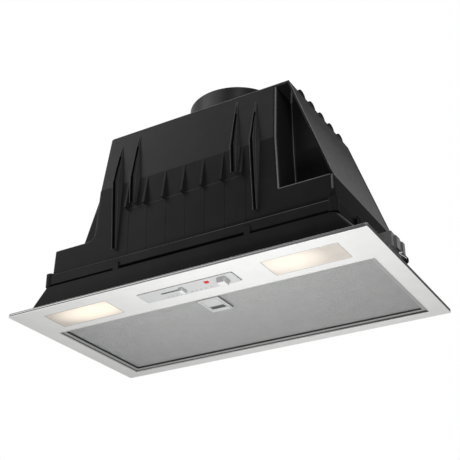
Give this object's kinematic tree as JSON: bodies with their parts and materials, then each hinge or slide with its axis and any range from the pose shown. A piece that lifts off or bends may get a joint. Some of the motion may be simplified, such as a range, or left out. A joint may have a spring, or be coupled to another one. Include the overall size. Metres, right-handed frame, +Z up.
{
  "type": "built-in range hood",
  "caption": "Canopy range hood insert: flat face panel with hinged mesh filter, lamps and slide controls under a black moulded blower housing with a round top outlet.",
  "frame": {"origin": "centre of the cabinet cut-out, on the seat plane where the panel's upturned rim meets the cabinet", "axes": "+X to the right along the panel seen from the front, +Y to the back, +Z up along the outlet collar"},
  "size_m": [0.525, 0.288, 0.3324],
  "materials": {
    "panel_paint": "silver satin powder coat",
    "housing_plastic": "black satin moulding",
    "filter_aluminium": "matt expanded mesh",
    "control_plastic": "light grey satin",
    "switch_plastic": "black",
    "pilot_red": "clear red",
    "lamp_lens": "frosted warm white",
    "galvanised_steel": "galvanised sheet",
    "socket_plastic": "ivory",
    "bulb_glass": "frosted",
    "wheel_plastic": "grey moulding",
    "motor_paint": "dark grey",
    "bright_steel": "bright plated",
    "mount_rubber": "matt"
  },
  "bodies": {
    "hood": {"face_panel": "panel_paint", "hinge_lug_left": "panel_paint", "hinge_lug_right": "panel_paint", "control_strip": "control_plastic", "pilot_lens": "pilot_red", "speed_switch": "switch_plastic", "light_switch": "switch_plastic", "terminal_box": "switch_plastic", "capacitor": "socket_plastic", "lamp_lens_left": "lamp_lens", "lamp_lens_right": "lamp_lens", "lamp_box_left": "galvanised_steel", "lamp_box_right": "galvanised_steel", "lamp_socket_left": "socket_plastic", "lamp_socket_right": "socket_plastic", "lamp_bulb_left": "bulb_glass", "lamp_bulb_right": "bulb_glass", "lower_body": "housing_plastic", "housing_front": "housing_plastic", "housing_rear": "housing_plastic", "outlet_collar": "housing_plastic", "damper_bar": "housing_plastic", "scroll_wrap": "galvanised_steel", "scroll_side_left": "galvanised_steel", "scroll_side_right": "galvanised_steel", "motor_body": "motor_paint", "motor_bracket": "galvanised_steel", "motor_grommets": "mount_rubber", "mains_gland": "housing_plastic", "panel_screws": "bright_steel", "clip_bracket_left": "housing_plastic", "clip_bracket_right": "housing_plastic", "clip_spring_left": "bright_steel", "clip_spring_right": "bright_steel"},
    "filter": {"filter_frame": "filter_aluminium", "filter_mesh": "filter_aluminium", "latch_base": "control_plastic"},
    "latch": {"latch_slider": "control_plastic"},
    "speed_control": {"speed_knob": "control_plastic"},
    "light_control": {"light_knob": "control_plastic"},
    "blower_wheel": {"impeller": "wheel_plastic", "motor_shaft": "bright_steel"},
    "flap_left": {"damper_flap_left": "housing_plastic"},
    "flap_right": {"damper_flap_right": "housing_plastic"},
    "clip_left": {"clip_lever_left": "housing_plastic"},
    "clip_right": {"clip_lever_right": "housing_plastic"}
  },
  "joints": [
    {"name": "filter_hinge", "type": "hinge", "parent": "hood", "child": "filter", "pos_m": [0, 0.1224, -0.001], "axis": [1, 0, 0], "range_deg": [0, 85]},
    {"name": "latch_slide", "type": "slide", "parent": "filter", "child": "latch", "axis": [0, 1, 0], "range_m": [0, 0.005], "stiffness_N_per_m": 300},
    {"name": "speed_slide", "type": "slide", "parent": "hood", "child": "speed_control", "axis": [1, 0, 0], "range_m": [-0.03, 0]},
    {"name": "light_slide", "type": "slide", "parent": "hood", "child": "light_control", "axis": [1, 0, 0], "range_m": [-0.006, 0]},
    {"name": "wheel_spin", "type": "hinge", "parent": "hood", "child": "blower_wheel", "pos_m": [0.014, -0.02, 0.13], "axis": [1, 0, 0], "continuous": true},
    {"name": "flap_left_swing", "type": "hinge", "parent": "hood", "child": "flap_left", "pos_m": [0.0087, 0.003, 0.255], "axis": [0, 1, 0], "range_deg": [0, 80]},
    {"name": "flap_right_swing", "type": "hinge", "parent": "hood", "child": "flap_right", "pos_m": [0.0193, 0.003, 0.255], "axis": [0, -1, 0], "range_deg": [0, 80]},
    {"name": "clip_left_press", "type": "hinge", "parent": "hood", "child": "clip_left", "pos_m": [-0.245, 0.0058, 0.033], "axis": [0, -1, 0], "range_deg": [0, 12], "stiffness_Nm_per_rad": 0.2},
    {"name": "clip_right_press", "type": "hinge", "parent": "hood", "child": "clip_right", "pos_m": [0.245, 0.0058, 0.033], "axis": [0, 1, 0], "range_deg": [0, 12], "stiffness_Nm_per_rad": 0.2}
  ]
}
